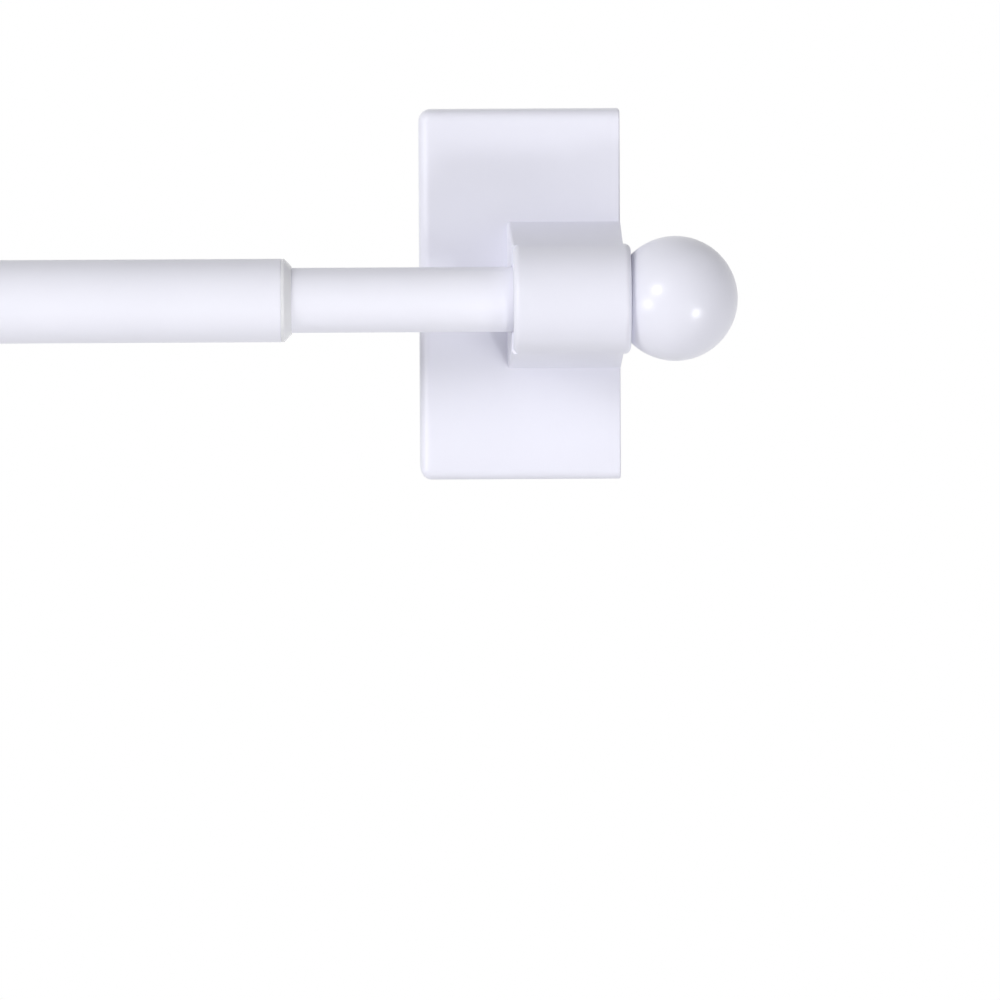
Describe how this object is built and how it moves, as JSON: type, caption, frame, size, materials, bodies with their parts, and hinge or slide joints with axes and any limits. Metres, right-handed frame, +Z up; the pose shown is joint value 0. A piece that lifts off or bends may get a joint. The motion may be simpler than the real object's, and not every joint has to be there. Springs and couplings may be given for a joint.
{
  "type": "magnetic curtain rod",
  "caption": "Telescoping curtain rod with a ball finial at each end, carried by moulded brackets whose magnet faces hold it to a steel door, with a gap behind for the curtain.",
  "frame": {"origin": "middle of the left bracket's pad face, which lies on the door", "axes": "+X along the rod from the left bracket to the right one, +Y into the door, +Z up"},
  "size_m": [0.4395, 0.0355, 0.0574],
  "materials": {
    "bracket_moulding": "white ABS, moulded, satin",
    "tube_paint": "white paint on steel tube, semi-gloss",
    "finial_lacquer": "white lacquered plastic, gloss",
    "clear_collar": "translucent plastic, polished",
    "nylon": "natural nylon, moulded",
    "keeper_steel": "zinc-plated steel sheet",
    "ferrite": "sintered ferrite, matt",
    "pad_rubber": "thin rubber sheet, matt, pebbled",
    "stud_steel": "zinc-plated steel, threaded"
  },
  "bodies": {
    "left_bracket_unit": {"left_bracket": "bracket_moulding", "left_keeper_plate": "keeper_steel", "left_upper_magnet": "ferrite", "left_lower_magnet": "ferrite", "left_pad": "pad_rubber"},
    "outer_rod": {"outer_tube": "tube_paint", "end_collar": "clear_collar", "left_end_plug": "nylon"},
    "inner_rod": {"inner_tube": "tube_paint", "guide_bush": "nylon", "right_end_plug": "nylon"},
    "right_bracket_unit": {"right_bracket": "bracket_moulding", "right_keeper_plate": "keeper_steel", "right_upper_magnet": "ferrite", "right_lower_magnet": "ferrite", "right_pad": "pad_rubber"},
    "left_finial_unit": {"left_finial": "finial_lacquer", "left_finial_stud": "stud_steel"},
    "right_finial_unit": {"right_finial": "finial_lacquer", "right_finial_stud": "stud_steel"}
  },
  "joints": [
    {"name": "left_swivel", "type": "hinge", "parent": "left_bracket_unit", "child": "outer_rod", "pos_m": [0, -0.026, 0], "axis": [1, 0, 0], "continuous": true},
    {"name": "rod_extension", "type": "slide", "parent": "outer_rod", "child": "inner_rod", "axis": [1, 0, 0], "range_m": [-0.0331, 0.2717]},
    {"name": "right_swivel", "type": "hinge", "parent": "inner_rod", "child": "right_bracket_unit", "pos_m": [0.37345, -0.026, 0], "axis": [1, 0, 0], "continuous": true},
    {"name": "left_finial_off", "type": "slide", "parent": "outer_rod", "child": "left_finial_unit", "axis": [-1, 0, 0], "range_m": [0, 0.016]},
    {"name": "right_finial_off", "type": "slide", "parent": "inner_rod", "child": "right_finial_unit", "axis": [1, 0, 0], "range_m": [0, 0.016]}
  ]
}
